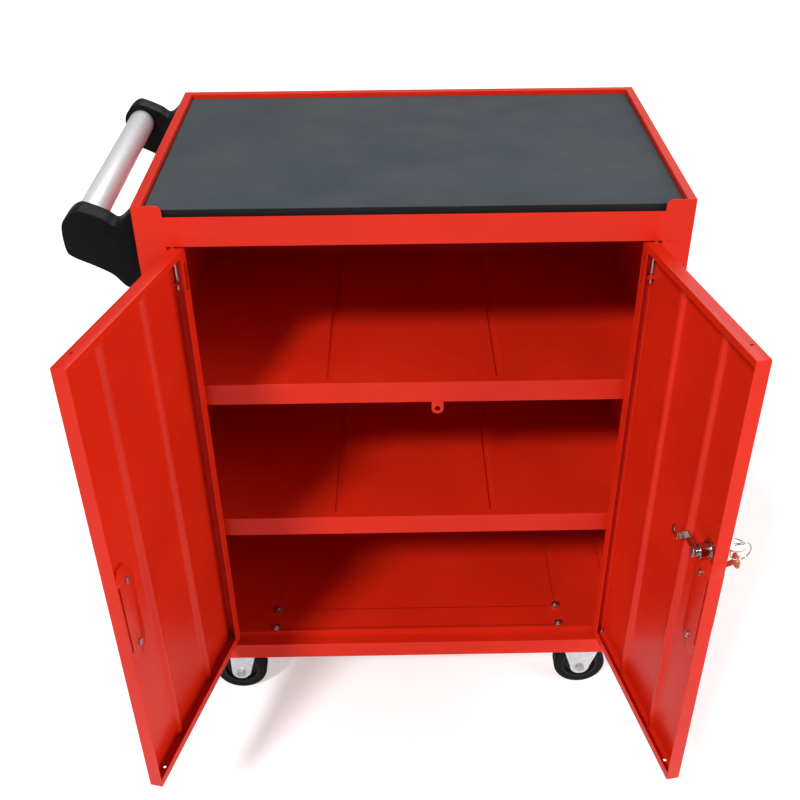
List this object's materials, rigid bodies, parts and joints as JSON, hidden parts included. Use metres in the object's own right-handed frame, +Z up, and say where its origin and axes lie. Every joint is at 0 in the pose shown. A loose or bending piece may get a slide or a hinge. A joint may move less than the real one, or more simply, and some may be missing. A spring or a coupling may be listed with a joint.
{
  "type": "tool cabinet",
  "caption": "Rolling tool cabinet with hinged double doors held open, fixed shelves, a rimmed worktop with a mat and a side handle.",
  "frame": {"origin": "on the ground, under the middle of the whole cabinet as it stands with its doors open", "axes": "+X to the right across the front, +Y from the front into the cabinet, +Z up; the side handle is on the -X side"},
  "size_m": [0.7366, 0.646, 0.772],
  "materials": {
    "red_paint": "gloss powder coat",
    "mat": "matt foam",
    "black_plastic": "fine moulded grain",
    "tube": "satin",
    "fasteners": "bright zinc",
    "zinc": "bright zinc",
    "lock_chrome": "polished",
    "nickel": "satin nickel",
    "wheel_core": "gloss",
    "tread": "semi-gloss"
  },
  "bodies": {
    "cabinet": {"left_side_panel": "red_paint", "right_side_panel": "red_paint", "back_panel": "red_paint", "floor_pan": "red_paint", "floor_channels": "red_paint", "worktop_tray": "red_paint", "worktop_mat": "mat", "upper_shelf": "red_paint", "lower_shelf": "red_paint", "shelf_brackets": "red_paint", "catch_tab": "red_paint", "handle_arms": "black_plastic", "handle_tube": "tube", "handle_bolts": "fasteners", "caster_plates": "zinc", "caster_bolts": "fasteners", "caster_nuts": "fasteners", "swivel_races": "zinc", "kingpins": "fasteners", "fixed_forks": "zinc", "fixed_axles": "fasteners"},
    "left_door": {"left_door_leaf": "red_paint", "left_hinge_pins": "fasteners", "left_pull": "black_plastic", "left_pull_plate": "red_paint", "left_pull_screws": "fasteners"},
    "right_door": {"right_door_leaf": "red_paint", "right_hinge_pins": "fasteners", "right_pull": "black_plastic", "right_pull_plate": "red_paint", "right_pull_screws": "fasteners", "lock_barrel": "lock_chrome", "lock_nut": "lock_chrome", "lock_strap": "red_paint"},
    "lock_core": {"lock_plug": "lock_chrome", "lock_cam": "lock_chrome", "cam_bolt": "fasteners"},
    "lock_key": {"key": "lock_chrome"},
    "spare_key_ring": {"key_ring": "lock_chrome", "spare_key": "nickel"},
    "front_swivel": {"front_swivel_fork": "zinc", "front_swivel_axle": "fasteners"},
    "rear_swivel": {"rear_swivel_fork": "zinc", "rear_swivel_axle": "fasteners"},
    "front_left_wheel": {"front_left_hub": "wheel_core", "front_left_tyre": "tread"},
    "rear_left_wheel": {"rear_left_hub": "wheel_core", "rear_left_tyre": "tread"},
    "front_right_wheel": {"front_right_hub": "wheel_core", "front_right_tyre": "tread"},
    "rear_right_wheel": {"rear_right_hub": "wheel_core", "rear_right_tyre": "tread"}
  },
  "joints": [
    {"name": "left_door_hinge", "type": "hinge", "parent": "cabinet", "child": "left_door", "pos_m": [-0.25192, -0.06337, 0.428], "axis": [0, 0, -1], "range_deg": [-104.7, 7.3]},
    {"name": "right_door_hinge", "type": "hinge", "parent": "cabinet", "child": "right_door", "pos_m": [0.27288, -0.06337, 0.428], "axis": [0, 0, 1], "range_deg": [-101.4, 10.6]},
    {"name": "lock_turn", "type": "hinge", "parent": "right_door", "child": "lock_core", "pos_m": [0.32156, -0.28656, 0.4735], "axis": [0.9803, 0.1977, 0], "range_deg": [0, 80]},
    {"name": "key_slide", "type": "slide", "parent": "lock_core", "child": "lock_key", "axis": [0.9803, 0.1977, 0], "range_m": [0, 0.03]},
    {"name": "key_ring_swing", "type": "hinge", "parent": "lock_key", "child": "spare_key_ring", "pos_m": [0.35587, -0.27964, 0.4638], "axis": [0.1977, -0.9803, 0], "range_deg": [-8, 35]},
    {"name": "front_swivel_turn", "type": "hinge", "parent": "cabinet", "child": "front_swivel", "pos_m": [-0.22952, -0.02197, 0.0865], "axis": [0, 0, 1], "continuous": true},
    {"name": "rear_swivel_turn", "type": "hinge", "parent": "cabinet", "child": "rear_swivel", "pos_m": [-0.22952, 0.27803, 0.0865], "axis": [0, 0, 1], "continuous": true},
    {"name": "front_left_wheel_spin", "type": "hinge", "parent": "front_swivel", "child": "front_left_wheel", "pos_m": [-0.25052, -0.02197, 0.0375], "axis": [0, 1, 0], "continuous": true},
    {"name": "rear_left_wheel_spin", "type": "hinge", "parent": "rear_swivel", "child": "rear_left_wheel", "pos_m": [-0.25052, 0.27803, 0.0375], "axis": [0, 1, 0], "continuous": true},
    {"name": "front_right_wheel_spin", "type": "hinge", "parent": "cabinet", "child": "front_right_wheel", "pos_m": [0.25348, -0.02197, 0.0375], "axis": [0, 1, 0], "continuous": true},
    {"name": "rear_right_wheel_spin", "type": "hinge", "parent": "cabinet", "child": "rear_right_wheel", "pos_m": [0.25348, 0.27803, 0.0375], "axis": [0, 1, 0], "continuous": true}
  ]
}
